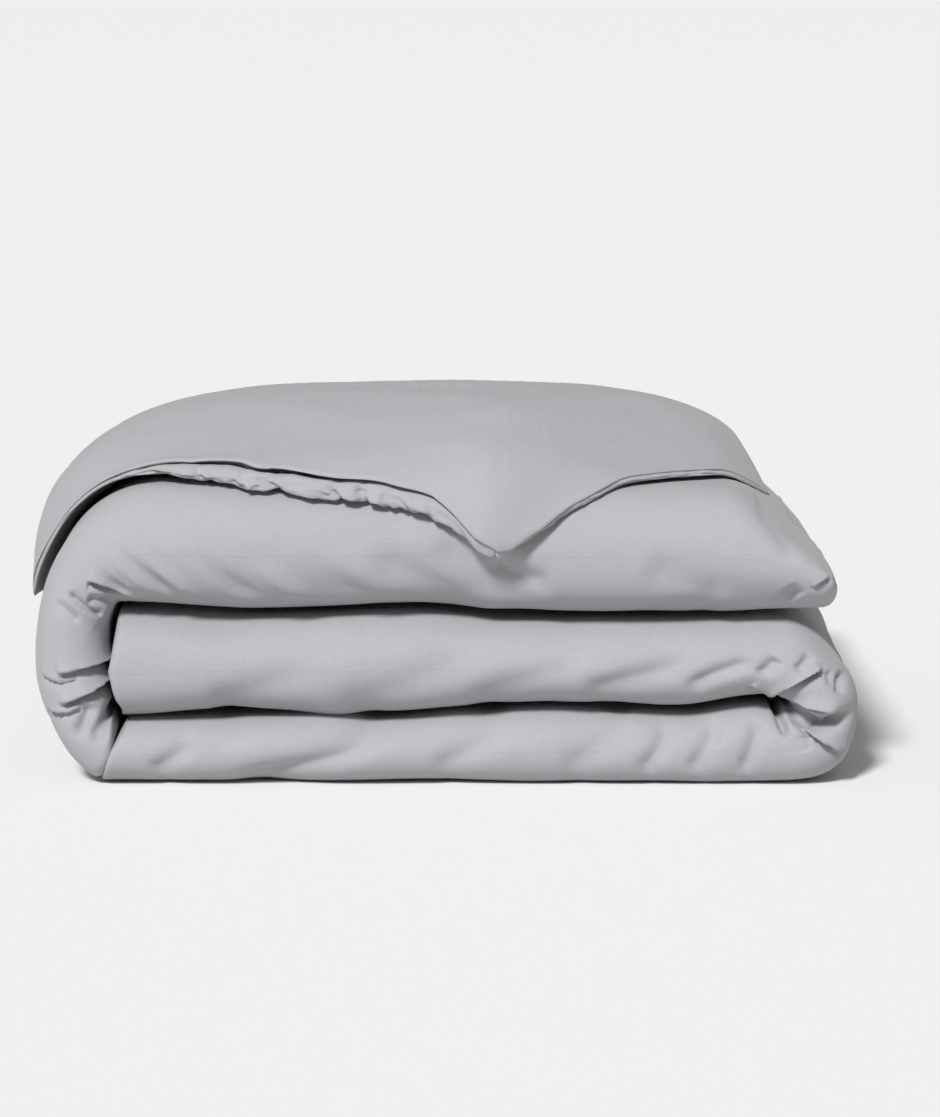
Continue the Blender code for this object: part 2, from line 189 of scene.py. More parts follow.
def section(height, front, nose, back):
    """Closed outline of a roll, as (y, n), starting at the nose's foremost point.

    Nose: half a superellipse. Both sides: flat. Back: the bend of the two outer sub-layers over the
    free edge of the innermost one, with a groove between them.
    """
    quarter_turn = np.linspace(0, pi / 2, NOSE_STEPS)
    nose_y = front + nose * (1 - power(np.cos(quarter_turn), 2 / NOSE_SQUARENESS))
    nose_n = power(np.sin(quarter_turn), 2 / NOSE_SQUARENESS)
    side = np.linspace(0, 1, SIDE_STEPS + 2)[1:-1] ** 1.5
    third = height / 3
    bend = np.linspace(pi / 2, -pi / 2, BACK_STEPS)
    bend_y = back - third + third * np.cos(bend)
    bend_n = third * 2 + third * np.sin(bend)
    edge_y = back - EDGE_SHORT - third / 2 + third / 2 * np.cos(bend)
    edge_n = third / 2 + third / 2 * np.sin(bend)
    groove_y = np.array([back - third - EDGE_SHORT])
    groove_n = np.array([third])
    upper_y = front + nose + (back - third - front - nose) * side
    lower_y = front + nose + (back - EDGE_SHORT - third / 2 - front - nose) * side
    y = np.concatenate([nose_y, upper_y, bend_y, groove_y, edge_y, lower_y[::-1], nose_y[:0:-1]])
    n = np.concatenate(
        [
            height / 2 * (1 + nose_n),
            np.full(SIDE_STEPS, height),
            bend_n,
            groove_n,
            edge_n,
            np.zeros(SIDE_STEPS),
            height / 2 * (1 - nose_n[:0:-1]),
        ]
    )
    return y, n


def end_taper(distance, radius):
    """How full a section is near an end of its strip: a quarter circle from a thin edge to full."""
    x = np.clip(distance / radius, 0, 1)
    return np.maximum(np.sqrt(1 - (1 - x) ** 2), 0.04)


class Strip:
    """A padded strip as a grid: stations along its path by points round its section.

    grid holds positions, s the length along the path and height the strip's thickness; out is the
    direction from the inner to the outer side of each station.
    """

    def __init__(self, inner, outer, spacing):
        self.inner, self.outer, self.s = resample(inner, outer, spacing)
        across = self.outer - self.inner
        self.height = np.linalg.norm(across, axis=1)
        self.out = across / self.height[:, None]

    def place(self, y, n):
        """Fills the grid from section coordinates of shape (stations, points)."""
        x = self.inner[:, 0, None] + self.out[:, 0, None] * n
        z = self.inner[:, 1, None] + self.out[:, 1, None] * n
        self.grid = np.stack([x, y, z], axis=-1)


def grid_normals(grid):
    """Unit normals of a grid that is closed round its second direction."""
    ahead = np.gradient(grid, axis=0)
    padded = np.concatenate([grid[:, -1:], grid, grid[:, :1]], axis=1)
    round_way = (padded[:, 2:] - padded[:, :-2]) / 2
    normal = np.cross(ahead, round_way)
    return normal / (np.linalg.norm(normal, axis=2, keepdims=True) + 1e-12)


# Folds and creases


def value_noise(x, y, seed):
    """Smooth noise in -1..1 over the plane, with one random value per unit square's corner."""
    table = np.random.default_rng(seed).uniform(-1, 1, (64, 64))
    x0, y0 = np.floor(x).astype(int), np.floor(y).astype(int)
    u, v = smooth(x - x0), smooth(y - y0)
    at = [[table[(x0 + i) % 64, (y0 + j) % 64] for j in (0, 1)] for i in (0, 1)]
    low = at[0][0] * (1 - u) + at[1][0] * u
    high = at[0][1] * (1 - u) + at[1][1] * u
    return low * (1 - v) + high * v


def crease_depth(x, z, path, width, depth, lip):
    """How far a crease presses in, over points (x, z) seen from the front.

    path is two or three points of a curve. A wide crease is a soft bell across the curve, with a low
    ridge of height lip on its left. A narrow one is a pleat's edge: the cloth rises by lip towards the
    curve from its left, drops sharply to depth, and comes back on its right. Both fade to the ends.
    """
    path = np.array(path, float)
    if len(path) == 2:
        path = np.array([path[0], path.mean(axis=0), path[1]])
    pieces = 24
    t = np.linspace(0, 1, pieces + 1)[:, None]
    middle = 2 * path[1] - (path[0] + path[2]) / 2
    curve = (1 - t) ** 2 * path[0] + 2 * t * (1 - t) * middle + t**2 * path[2]
    best = np.full(x.shape, 1e9)
    across = np.zeros(x.shape)
    share = np.zeros(x.shape)
    for k, (start, end) in enumerate(zip(curve, curve[1:])):
        way = end - start
        length = np.linalg.norm(way)
        way = way / length
        ahead = np.clip((x - start[0]) * way[0] + (z - start[1]) * way[1], 0, length)
        off_x, off_z = x - start[0] - ahead * way[0], z - start[1] - ahead * way[1]
        distance = np.hypot(off_x, off_z)
        nearer = distance < best
        best = np.where(nearer, distance, best)
        side = np.where(off_z * way[0] - off_x * way[1] >= 0, 1.0, -1.0)
        across = np.where(nearer, distance * side, across)
        share = np.where(nearer, (k + ahead / length) / pieces, share)
    soft = width > SOFT_WIDTH
    fade_in, fade_out = (0.22, 0.3) if soft else (0.12, 0.16)
    fade = smooth(share / fade_in) * smooth((1 - share) / fade_out)
    if soft:
        valley = np.exp(-((across / width) ** 2))
        ridge = np.exp(-(((across - 2.4 * width) / (1.6 * width)) ** 2))
        return fade * (lip * ridge - depth * valley)
    over = lip * np.exp(-np.maximum(across, 0) / (3.5 * width))
    below = -depth * np.exp(-np.maximum(-across, 0) / (1.8 * width))
    edge = 0.0022
    return fade * (below + (over - below) * smooth((across + edge / 2) / edge))


def settled(grid):
    """The grid sunk towards the pile's back: its top drops by up to 40 mm, its lower layers less."""
    high = smooth((grid[..., 2] - 0.10) / 0.17)
    far = smooth((grid[..., 1] + 0.04) / 0.29)
    sunk = grid.copy()
    sunk[..., 2] -= SINK * high * far
    return sunk


def wandering(grid):
    """The grid moved up and down so that both gaps between leaves wander by a few millimetres in x."""
    x, z = grid[..., 0], grid[..., 2]
    low = eased(x, LOW_GAP_X, LOW_GAP_RISE)
    low = low * smooth(z / 0.05) * (1 - smooth((z - 0.055) / 0.05))
    high = eased(x, HIGH_GAP_X, HIGH_GAP_RISE)
    high = high * smooth((z - 0.07) / 0.05) * (1 - smooth((z - 0.13) / 0.06))
    moved = grid.copy()
    moved[..., 2] += low + high
    return moved


# The low gap is between the lower and middle leaf, the high one between the middle and upper leaf:
# x, and how far the gap rises there.
LOW_GAP_X = (-0.23, -0.13, -0.045, 0.02, 0.075, 0.17, 0.225, 0.26)
LOW_GAP_RISE = (0.0, -0.0005, -0.002, 0.003, 0.006, 0.003, 0.010, 0.006)
HIGH_GAP_X = (-0.22, -0.15, -0.026, 0.04, 0.11, 0.24)
HIGH_GAP_RISE = (0.003, -0.0005, 0.0025, -0.002, -0.003, -0.001)


def swells(grid, seed):
    """Broad soft rises and hollows, in metres: smooth noise of two sizes over the pile."""
    x, y, z = grid[..., 0], grid[..., 1], grid[..., 2]
    broad = value_noise(x / 0.075 + y / 0.11 + 9, z / 0.06 + y / 0.07 + 9, seed)
    fine = value_noise(x / 0.031 - z / 0.05 + 20, z / 0.024 + y / 0.03 + 20, seed + 1)
    return 0.0013 * broad + 0.0006 * fine


def wrinkled(grid, creases, swell):
    """The grid moved along its normals: its swell everywhere, and its creases in front."""
    normal = grid_normals(grid)
    x, y, z = grid[..., 0], grid[..., 1], grid[..., 2]
    in_front = smooth((-0.115 - y) / 0.05)
    near = in_front > 0
    pressed = np.zeros(x.shape)
    for path, width, depth, lip in creases:
        pressed[near] += CREASE_GAIN * crease_depth(x[near], z[near], path, width, depth, lip)
    return wandering(grid + normal * (swell + in_front * pressed)[..., None])


def gathered(grid):
    """Soft slanting gathers along the upper leaf's lower edge, closer together towards the left fold."""
    x, y, z = grid[..., 0], grid[..., 1], grid[..., 2]
    slant = 8.0 * np.log(1 + np.maximum(x + z + 0.125, 0) / 0.1)
    rise = (0.0046 - 0.0016 * smooth((x + 0.15) / 0.2)) * value_noise(slant * 1.7, z / 0.08 + 3.3, 14)
    low = smooth((0.186 - z) / 0.035) * smooth((z - 0.135) / 0.014)
    low = low * smooth((-0.16 - y) / 0.05) * smooth((x + 0.262) / 0.03)
    return grid + grid_normals(grid) * (rise * low)[..., None]


def puckers(q, turn, radius):
    """Gathers along a rolled hem: slanting ridged folds of two sizes, in parts of the hem's radius."""
    slant = q + 0.010 * np.sin(turn + 0.6)
    broad = 1 - 2 * np.abs(value_noise(slant / 0.017, turn * 0.7 + 3.5, 21))
    fine = 1 - 2 * np.abs(value_noise(slant / 0.0075, turn * 0.9 + 7.5, 22))
    pleats = sum(depth * np.exp(-(((slant - at) / width) ** 2)) for at, width, depth in HEM_PLEATS)
    gathers = 0.34 * broad + 0.14 * fine - 0.2 - pleats
    return radius * gathers * (0.3 + 0.7 * np.maximum(np.cos(turn), 0))


# Every crease's depth and lip are this many times what its table says.
CREASE_GAIN = 1.6

# Deeper pleats of the side hem: place along the top sub-layer, width, depth in parts of the radius.
HEM_PLEATS = (
    (0.118, 0.0035, 0.6),
    (0.139, 0.0050, 0.8),
    (0.176, 0.0030, 0.4),
    (0.232, 0.0060, 0.5),
    (0.281, 0.0035, 0.7),
    (0.300, 0.0030, 0.5),
)

# A crease: its curve's points (x, z), its width, its depth and its lip's height.
OUTER_CREASES = (
    (((-0.2482, 0.1216), (-0.2612, 0.1303), (-0.2742, 0.1413)), 0.0017, 0.005, 0.0019),
    (((-0.2641, 0.1201), (-0.2828, 0.1355)), 0.0034, 0.002, 0),
    (((-0.2588, 0.1507), (-0.2444, 0.1455), (-0.2213, 0.1316)), 0.0015, 0.006, 0.0024),
    (((-0.2593, 0.1373), (-0.2492, 0.1351), (-0.2362, 0.1315)), 0.0034, 0.0032, 0),
    (((-0.2826, 0.0833), (-0.261, 0.0877), (-0.238, 0.0913)), 0.0022, 0.0055, 0.0026),
    (((-0.297, 0.0833), (-0.2812, 0.0782), (-0.2653, 0.0818)), 0.002, 0.0026, 0.0012),
    (((-0.2826, 0.0607), (-0.2538, 0.0716), (-0.2365, 0.084)), 0.0016, 0.0075, 0.0034),
    (((-0.2912, 0.0563), (-0.2783, 0.0548), (-0.2625, 0.0614)), 0.0022, 0.0036, 0.0016),
    (((-0.2555, 0.0632), (-0.2612, 0.05), (-0.2713, 0.034)), 0.0056, 0.0038, 0),
    (((-0.2382, 0.0602), (-0.2468, 0.0471), (-0.2612, 0.0332)), 0.006, 0.0038, 0),
    (((-0.0534, 0.1796), (-0.0119, 0.152), (0.0326, 0.1374)), 0.012, 0.0026, 0.0006),
    (((-0.0119, 0.1854), (0.0326, 0.1636), (0.0813, 0.1389)), 0.011, 0.0026, 0),
    (((0.0325, 0.1717), (0.0526, 0.1586), (0.0783, 0.1499)), 0.01, 0.003, 0),
    (((0.1386, 0.1708), (0.1744, 0.152), (0.2031, 0.1389)), 0.013, 0.0022, 0),
    (((0.2411, 0.1502), (0.2512, 0.14)), 0.006, 0.003, 0),
    (((0.2588, 0.1508), (0.2732, 0.1588)), 0.0018, 0.003, 0.0014),
    (((0.2553, 0.1864), (0.2712, 0.1784)), 0.0018, 0.004, 0.002),
    (((0.2257, 0.2121), (0.2545, 0.1683)), 0.009, 0.0024, 0),
)
INNER_CREASES = (
    (((0.2322, 0.0574), (0.2539, 0.0758), (0.2734, 0.0882)), 0.0015, 0.0075, 0.0036),
    (((0.2192, 0.0684), (0.2351, 0.0567)), 0.0015, 0.0035, 0.002),
    (((0.2336, 0.0596), (0.2582, 0.056), (0.2828, 0.0487)), 0.0013, 0.0045, 0.0022),
    (((0.2481, 0.0523), (0.2712, 0.0421), (0.298, 0.0538)), 0.0046, 0.01, 0.002),
    (((0.2553, 0.0406), (0.2741, 0.0289), (0.2907, 0.0208)), 0.0014, 0.0065, 0.003),
    (((0.2358, 0.0553), (0.2409, 0.045), (0.2474, 0.0311)), 0.003, 0.005, 0),
    (((0.2611, 0.0362), (0.264, 0.0259)), 0.0026, 0.0025, 0),
    (((0.2862, 0.0836), (0.2833, 0.063)), 0.0034, 0.0032, 0),
    (((0.276, 0.0865), (0.2789, 0.0704)), 0.0032, 0.0022, 0),
    (((0.264, 0.1007), (0.251, 0.0846)), 0.004, 0.003, 0),
    (((0.239, 0.0987), (0.2246, 0.0782)), 0.0058, 0.0036, 0),
    (((0.1707, 0.07), (0.198, 0.0861), (0.2253, 0.0963)), 0.0075, 0.0034, 0),
    (((0.0958, 0.0663), (0.1389, 0.0823), (0.1906, 0.1027)), 0.011, 0.003, 0),
    (((0.0096, 0.059), (0.0599, 0.0794), (0.1145, 0.107)), 0.013, 0.0022, 0),
    (((-0.0909, 0.0561), (-0.0263, 0.0794), (0.0383, 0.1056)), 0.014, 0.0022, 0),
    (((-0.1771, 0.059), (-0.134, 0.075), (-0.0837, 0.0968)), 0.013, 0.002, 0),
    (((-0.2141, 0.008), (-0.1982, 0.0226), (-0.1795, 0.0387)), 0.008, 0.003, 0),
    (((-0.1621, 0.0051), (-0.0885, 0.0212), (-0.0395, 0.0519)), 0.009, 0.0036, 0.0024),
    (((-0.0121, 0.0095), (0.0168, 0.027), (0.0529, 0.0475)), 0.01, 0.0024, 0),
    (((0.0817, 0.0095), (0.1106, 0.0285), (0.1395, 0.0475)), 0.01, 0.0024, 0),
    (((0.1395, 0.008), (0.1539, 0.027), (0.1625, 0.046)), 0.007, 0.003, 0),
    (((0.177, 0.008), (0.1885, 0.0285), (0.1986, 0.0446)), 0.007, 0.003, 0),
    (((0.2133, 0.0073), (0.2219, 0.0264), (0.2277, 0.041)), 0.0058, 0.0026, 0),
)
# The top sub-layer and its hems share their swells, so that they rise and fall together.
TOP_SEED = 5
TOP_CREASES = (
    (((-0.080, 0.222), (-0.040, 0.214), (0.000, 0.204)), 0.0050, 0.0014, 0.0),
    (((-0.130, 0.232), (-0.090, 0.222)), 0.0060, 0.0012, 0.0),
)


# Meshes


def strip_faces(stations, points):
    """Quads of a closed strip, with each end zipped from the outer half of its ring to the inner."""
    i = np.arange(stations - 1)[:, None] * points
    j = np.arange(points)[None, :]
    after = (j + 1) % points
    walls = np.stack([i + j, i + points + j, i + points + after, i + after], -1).reshape(-1, 4)
    k = np.arange(1, (points - 1) // 2)
    rungs = np.stack([k, k + 1, points - k - 1, points - k], -1).tolist()
    tips = [[points - 1, 0, 1]]
    if points % 2 == 0:
        tips.append([points // 2 - 1, points // 2, points // 2 + 1])
    first = rungs + tips
    last = [[v + (stations - 1) * points for v in face[::-1]] for face in first]
    return walls.tolist() + first + last


def to_mesh(name, grid, s, material):
    """A mesh object from a strip's grid, with its cloth coordinates as UVs in metres."""
    stations, points = grid.shape[:2]
    faces = strip_faces(stations, points)
    mesh = bpy.data.meshes.new(name)
    mesh.from_pydata(grid.reshape(-1, 3).tolist(), [], faces)
    mesh.validate()
    girth = np.linalg.norm(np.diff(grid[stations // 2], axis=0, append=grid[stations // 2][:1]), axis=1)
    round_way = np.concatenate([[0], np.cumsum(girth)[:-1]])
    uv = np.stack(np.broadcast_arrays(s[:, None], round_way[None, :]), -1).reshape(-1, 2)
    layer = mesh.uv_layers.new(name="cloth")
    corner = np.zeros(len(mesh.loops), np.int32)
    mesh.loops.foreach_get("vertex_index", corner)
    layer.data.foreach_set("uv", uv[corner].astype(np.float32).ravel())
    mesh.polygons.foreach_set("use_smooth", np.ones(len(mesh.polygons), bool))
    mesh.materials.append(material)
    obj = bpy.data.objects.new(name, mesh)
    bpy.context.scene.collection.objects.link(obj)
    return obj


# Materials


def node(tree, kind, place, **settings):
    """A node of one kind, with its properties and its inputs' plain values set by name."""
    made = tree.nodes.new(kind)
    made.location = (place[0] * 200, place[1] * 160)
    for name, value in settings.items():
        if hasattr(made, name):
            setattr(made, name, value)
        else:
            made.inputs[name].default_value = value
    return made


def threads(tree, cloth, run, row):
    """Uneven yarns lying along one direction of the cloth: noise drawn out along them."""
    stretch = node(tree, "ShaderNodeMapping", (-4, row))
    stretch.inputs["Scale"].default_value = run
    tree.links.new(cloth, stretch.inputs["Vector"])
    yarn = node(tree, "ShaderNodeTexNoise", (-3, row), Scale=1.0, Detail=3.0, Roughness=0.55)
    tree.links.new(stretch.outputs["Vector"], yarn.inputs["Vector"])
    return yarn.outputs["Fac"]


def mixed(tree, operation, a, b, place):
    """A Math node on two sockets or numbers."""
    made = node(tree, "ShaderNodeMath", place, operation=operation)
    for socket, value in zip(made.inputs, (a, b)):
        if isinstance(value, (int, float)):
            socket.default_value = value
        else:
            tree.links.new(value, socket)
    return made.outputs["Value"]


def percale_weave():
    """Node group: plain weave from cloth coordinates in metres.

    Height: warp and weft yarns of uneven thickness, crossing. Tone: the same yarns as light and dark
    streaks, with faint broad clouds.
    """
    tree = bpy.data.node_groups.new("percale_weave", "ShaderNodeTree")
    tree.interface.new_socket("Cloth", in_out="INPUT", socket_type="NodeSocketVector")
    tree.interface.new_socket("Height", in_out="OUTPUT", socket_type="NodeSocketFloat")
    tree.interface.new_socket("Tone", in_out="OUTPUT", socket_type="NodeSocketFloat")
    cloth = node(tree, "NodeGroupInput", (-6, 0)).outputs["Cloth"]
    warp = threads(tree, cloth, (70.0, 1300.0, 1.0), 2)
    weft = threads(tree, cloth, (1300.0, 70.0, 1.0), 0)
    clouds = threads(tree, cloth, (28.0, 28.0, 1.0), -2)
    crossing = mixed(tree, "ADD", warp, weft, (-2, 1))
    height = mixed(tree, "MULTIPLY", crossing, 0.5, (-1, 1))
    streaks = mixed(tree, "MULTIPLY", crossing, 0.42, (-1, 0))
    broad = mixed(tree, "MULTIPLY", clouds, 0.16, (-1, -1))
    tone = mixed(tree, "ADD", streaks, broad, (0, 0))
    out = node(tree, "NodeGroupOutput", (1, 0))
    tree.links.new(height, out.inputs["Height"])
    tree.links.new(tone, out.inputs["Tone"])
    return tree


def matt(name, roughness):
    """A new material and its tree and Principled shader."""
    made = bpy.data.materials.new(name)
    made.use_nodes = True
    shader = made.node_tree.nodes["Principled BSDF"]
    shader.inputs["Roughness"].default_value = roughness
    return made, made.node_tree, shader


def two_tone(tree, shader, tone, dark, light):
    """Base colour between two colours by a tone near one half."""
    ramp = node(tree, "ShaderNodeValToRGB", (-2, 1))
    ramp.color_ramp.elements[0].position = 0.28
    ramp.color_ramp.elements[0].color = (*dark, 1)
    ramp.color_ramp.elements[1].position = 0.72
    ramp.color_ramp.elements[1].color = (*light, 1)
    tree.links.new(tone, ramp.inputs["Fac"])
    tree.links.new(ramp.outputs["Color"], shader.inputs["Base Color"])


def raised(tree, shader, height, strength, distance):
    """Surface raised by a height."""
    bump = node(tree, "ShaderNodeBump", (-2, -1), Strength=strength, Distance=distance)
    tree.links.new(height, bump.inputs["Height"])
    tree.links.new(bump.outputs["Normal"], shader.inputs["Normal"])


def percale(name, weave, dark, light):
    """Cotton percale: matt, its colour between two greys by the weave's tone, its yarns raised."""
    made, tree, shader = matt(name, 0.88)
    shader.inputs["Sheen Weight"].default_value = 0.12
    shader.inputs["Sheen Roughness"].default_value = 0.6
    shader.inputs["Specular IOR Level"].default_value = 0.3
    uv = node(tree, "ShaderNodeUVMap", (-5, 0), uv_map="cloth")
    cloth = node(tree, "ShaderNodeGroup", (-4, 0), node_tree=weave)
    tree.links.new(uv.outputs["UV"], cloth.inputs["Cloth"])
    two_tone(tree, shader, cloth.outputs["Tone"], dark, light)
    raised(tree, shader, cloth.outputs["Height"], 0.55, 0.0006)
    return made


def cotton_tape(weave):
    """White twill tape for the ties and the care label: the same weave on object coordinates."""
    made, tree, shader = matt("cotton_tape_white", 0.85)
    place = node(tree, "ShaderNodeTexCoord", (-5, 0))
    cloth = node(tree, "ShaderNodeGroup", (-4, 0), node_tree=weave)
    tree.links.new(place.outputs["Object"], cloth.inputs["Cloth"])
    two_tone(tree, shader, cloth.outputs["Tone"], (0.70, 0.70, 0.68), (0.84, 0.84, 0.82))
    raised(tree, shader, cloth.outputs["Height"], 0.6, 0.0005)
    return made


def button_resin():
    """Grey cast resin: faint clouded colour and a satin face with fine tumbling marks."""
    made, tree, shader = matt("button_resin_grey", 0.35)
    place = node(tree, "ShaderNodeTexCoord", (-5, 0))
    cloud = node(tree, "ShaderNodeTexNoise", (-4, 1), Scale=260.0, Detail=2.0)
    marks = node(tree, "ShaderNodeTexNoise", (-4, -1), Scale=2400.0, Detail=1.0)
    for noise in (cloud, marks):
        tree.links.new(place.outputs["Object"], noise.inputs["Vector"])
    two_tone(tree, shader, cloud.outputs["Fac"], (0.30, 0.31, 0.32), (0.42, 0.43, 0.44))
    raised(tree, shader, marks.outputs["Fac"], 0.2, 0.0002)
    return made


def nodes_named(word):
    """CAD nodes whose name holds a word."""
    return [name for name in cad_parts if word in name]


def dress(words, material):
    """Gives the CAD nodes whose names hold one of the words a material of their own."""
    for name in (n for word in words for n in nodes_named(word)):
        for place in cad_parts[name].material_slots:
            place.material = material


# Pieces


def ring_rows(strip, front, nose, back, taper_start, taper_end):
    """Section coordinates of every station, thinned and drawn in a little towards the strip's ends."""
    rows_y, rows_n = [], []
    drawn_in = 0.035
    total = strip.s[-1]
    for k, at in enumerate(strip.s):
        y, n = section(strip.height[k], front[k], nose[k], back[k])
        full = 1.0
        if taper_start:
            full = min(full, float(end_taper(at, taper_start)))
        if taper_end:
            full = min(full, float(end_taper(total - at, taper_end)))
        n = strip.height[k] / 2 + (n - strip.height[k] / 2) * full
        y = y * (1 - drawn_in * (1 - full))
        rows_y.append(y)
        rows_n.append(n)
    return np.array(rows_y), np.array(rows_n)


def build_inner_folds(material):
    """Middle leaf, right fold and lower leaf as one padded strip."""
    strip = Strip(*inner_strip(), GRID)
    places = [0.0, 0.46, 0.62, 1.1]
    front = eased(strip.s, places, [FRONT - 0.004, FRONT - 0.006, FRONT + 0.002, FRONT + 0.002])
    nose = eased(strip.s, places, [0.046, 0.044, 0.034, 0.034])
    back = np.full(len(strip.s), BACK)
    y, n = ring_rows(strip, front, nose, back, 0.007, 0.006)
    strip.place(y, n)
    grid = wrinkled(strip.grid, INNER_CREASES, swells(strip.grid, seed=3))
    y, z = grid[..., 1], grid[..., 2]
    ragged = value_noise(z / 0.017, y / 0.06 + 5, 31) * smooth((z - 0.048) / 0.01)
    grid[..., 0] += 0.0032 * ragged * smooth((LEFT + 0.080 - grid[..., 0]) / 0.016)
    return to_mesh("inner_folds", grid, strip.s, material)


def outer_fold_strip():
    """The outer strip with its own section settings, shared by the pieces that lie on it."""
    strip = Strip(*outer_strip(), GRID)
    places = [0.0, 0.10, 0.25, 0.9]
    strip.front = eased(strip.s, places, [FRONT + 0.002, FRONT, FRONT - 0.012, FRONT - 0.012])
    strip.nose = eased(strip.s, places, [0.028, 0.034, 0.050, 0.050])
    strip.back = np.full(len(strip.s), BACK)
    return strip


def build_outer_fold(strip, material):
    """Left fold and upper leaf as one padded strip, its right end a little ragged."""
    y, n = ring_rows(strip, strip.front, strip.nose, strip.back, 0.008, 0.022)
    strip.place(y, n)
    grid = gathered(strip.grid)
    grid = settled(wrinkled(grid, OUTER_CREASES, swells(grid, seed=8)))
    x, y, z = grid[..., 0], grid[..., 1], grid[..., 2]
    ragged = value_noise(z / 0.019 + 3, y / 0.05 + 7, 33) * smooth((-0.02 - y) / 0.1)
    grid[..., 0] += 0.0055 * ragged * smooth((x - 0.232) / 0.03)
    return to_mesh("outer_fold", grid, strip.s, material)


# The top sub-layer and its hems, which lie on the outer fold


class Draped:
    """Places on the outer fold's surface: station by station, a distance over its side from its nose.

    at(k, sigma, lift) gives the point lift metres off the surface, sigma metres from the nose's
    foremost point, going up over the outer side to the back. Stations run from the left end of the
    top sub-layer to its right end, q is the length along the outer side, and room is how thick the
    top sub-layer can grow before it passes the pile's top outline.
    """

    def __init__(self, strip):
        covered = (strip.outer[:, 1] > 0.119) & (strip.outer[:, 0] < 0.243)
        self.stations = np.nonzero(covered)[0]
        self.strip = strip
        self.q = along(strip.outer[self.stations])
        self.x = strip.outer[self.stations, 0]
        self.room = pile_reach(strip, self.stations)
        self.lines = [self.outline(k) for k in self.stations]

    def outline(self, k):
        """One station's outer side from its nose to its back: lengths, points (y, n) and normals.

        The line starts with a straight 30 mm hanging down from the nose's foremost point.
        """
        strip, drop = self.strip, 0.03
        y, n = section(strip.height[k], strip.front[k], strip.nose[k], strip.back[k])
        half = NOSE_STEPS + SIDE_STEPS + BACK_STEPS // 2
        points = np.stack([y[:half], n[:half]], -1)
        lengths = along(points)
        tangent = np.gradient(points, axis=0)
        tangent /= np.linalg.norm(tangent, axis=1, keepdims=True) + 1e-12
        normal = np.stack([-tangent[:, 1], tangent[:, 0]], -1)
        before = np.array([[points[0, 0], points[0, 1] - drop]])
        points = np.concatenate([before, points])
        normal = np.concatenate([[[-1.0, 0.0]], normal])
        return np.concatenate([[-drop], lengths]), points, normal

    def at(self, row, sigma, lift):
        """Section coordinates (y, n) of the places sigma and lift at one station."""
        lengths, points, normal = self.lines[row]
        y = np.interp(sigma, lengths, points[:, 0]) + lift * np.interp(sigma, lengths, normal[:, 0])
        n = np.interp(sigma, lengths, points[:, 1]) + lift * np.interp(sigma, lengths, normal[:, 1])
        return y, n

    def grid(self, sigmas, lifts):
        """Positions for rows of sigma and lift, one row per station."""
        rows = [self.at(row, sigma, lift) for row, (sigma, lift) in enumerate(zip(sigmas, lifts))]
        return self.to_space(*(np.array(column) for column in zip(*rows)))

    def to_space(self, rows_y, rows_n, rows=slice(None)):
        """Positions from section coordinates, for all stations or for some rows of them."""
        k = self.stations[rows]
        x = self.strip.inner[k, 0, None] + self.strip.out[k, 0, None] * rows_n
        z = self.strip.inner[k, 1, None] + self.strip.out[k, 1, None] * rows_n
        return np.stack([x, rows_y, z], -1)


def pile_reach(strip, stations):
    """Distance from the outer fold's outer side to the pile's top outline, per station.

    The outline is a superellipse about a centre in the pile, narrower and squarer on its right.
    """
    centre, height, least = np.array([-0.02, 0.115]), 0.158, 0.006
    start, way = strip.outer[stations], strip.out[stations]
    reach = np.linspace(0, 0.09, 361)
    points = start[:, None, :] + way[:, None, :] * reach[None, :, None] - centre
    half = np.where(points[..., 0] > 0, 0.272, -LEFT - 0.008)
    exponent = np.where(points[..., 0] > 0, 3.6, 3.0)
    across, up = np.abs(points[..., 0]) / half, np.abs(points[..., 1]) / height
    inside = across**exponent + up**exponent < 1
    last = np.where(inside, np.arange(len(reach))[None, :], 0).max(axis=1)
    return np.maximum(reach[last], least)


# The corner's lower edge from the front: the side hem from the left to the tip, then the end hem.
# Each place has its x and how far up over the outer fold's side it lies.
HEM_X = (-0.245, -0.193, -0.155, -0.143, -0.10, -0.045, -0.010, 0.006, 0.0225, CORNER_TIP_X)
HEM_UP = (0.081, 0.064, 0.058, 0.0525, 0.043, 0.035, 0.026, 0.017, 0.006, 0.0)
END_X = (CORNER_TIP_X, 0.068, 0.0995, 0.129, 0.165, 0.196, 0.2175, 0.258)
END_UP = (0.0, 0.016, 0.038, 0.061, 0.088, 0.108, 0.122, 0.165)


def hem_line(draped):
    """How far up the outer fold the corner's lower edge lies, at each station."""
    xs, ups = HEM_X + END_X[1:], HEM_UP + END_UP[1:]
    up = np.interp(draped.x, xs, ups)
    q = draped.q
    on_left_side = 0.102 - 0.018 * smooth(q / 0.03) - 0.003 * smooth((q - 0.03) / 0.09)
    wavy = 0.0014 * value_noise(q / 0.021, q * 0 + 0.5, 41)
    return np.where(draped.x < HEM_X[0], on_left_side, up) + wavy


def edge_radius(draped):
    """Half thickness of the corner's edge: full along the side hem, thin along the end hem."""
    past_tip = smooth((draped.x - CORNER_TIP_X + 0.003) / 0.014)
    side = 0.0092 - 0.0024 * smooth((draped.x - CORNER_TIP_X + 0.060) / 0.05)
    side = side * (1 - past_tip)
    end = 0.0034 * past_tip
    narrow = 0.25 + 0.75 * smooth((draped.x + 0.250) / 0.075)
    return np.maximum(side * narrow + end, 0.0021)


def edge_gap(draped):
    """How far the corner's edge stands off the fold below: most at its tip and down the left side."""
    tip = 0.0055 * np.exp(-(((draped.x - CORNER_TIP_X) / 0.035) ** 2))
    under = 0.0020 * (1 - smooth((draped.x - CORNER_TIP_X + 0.02) / 0.04))
    side = 0.006 * (1 - smooth((draped.x + 0.26) / 0.10))
    return 0.0012 + tip + under + side


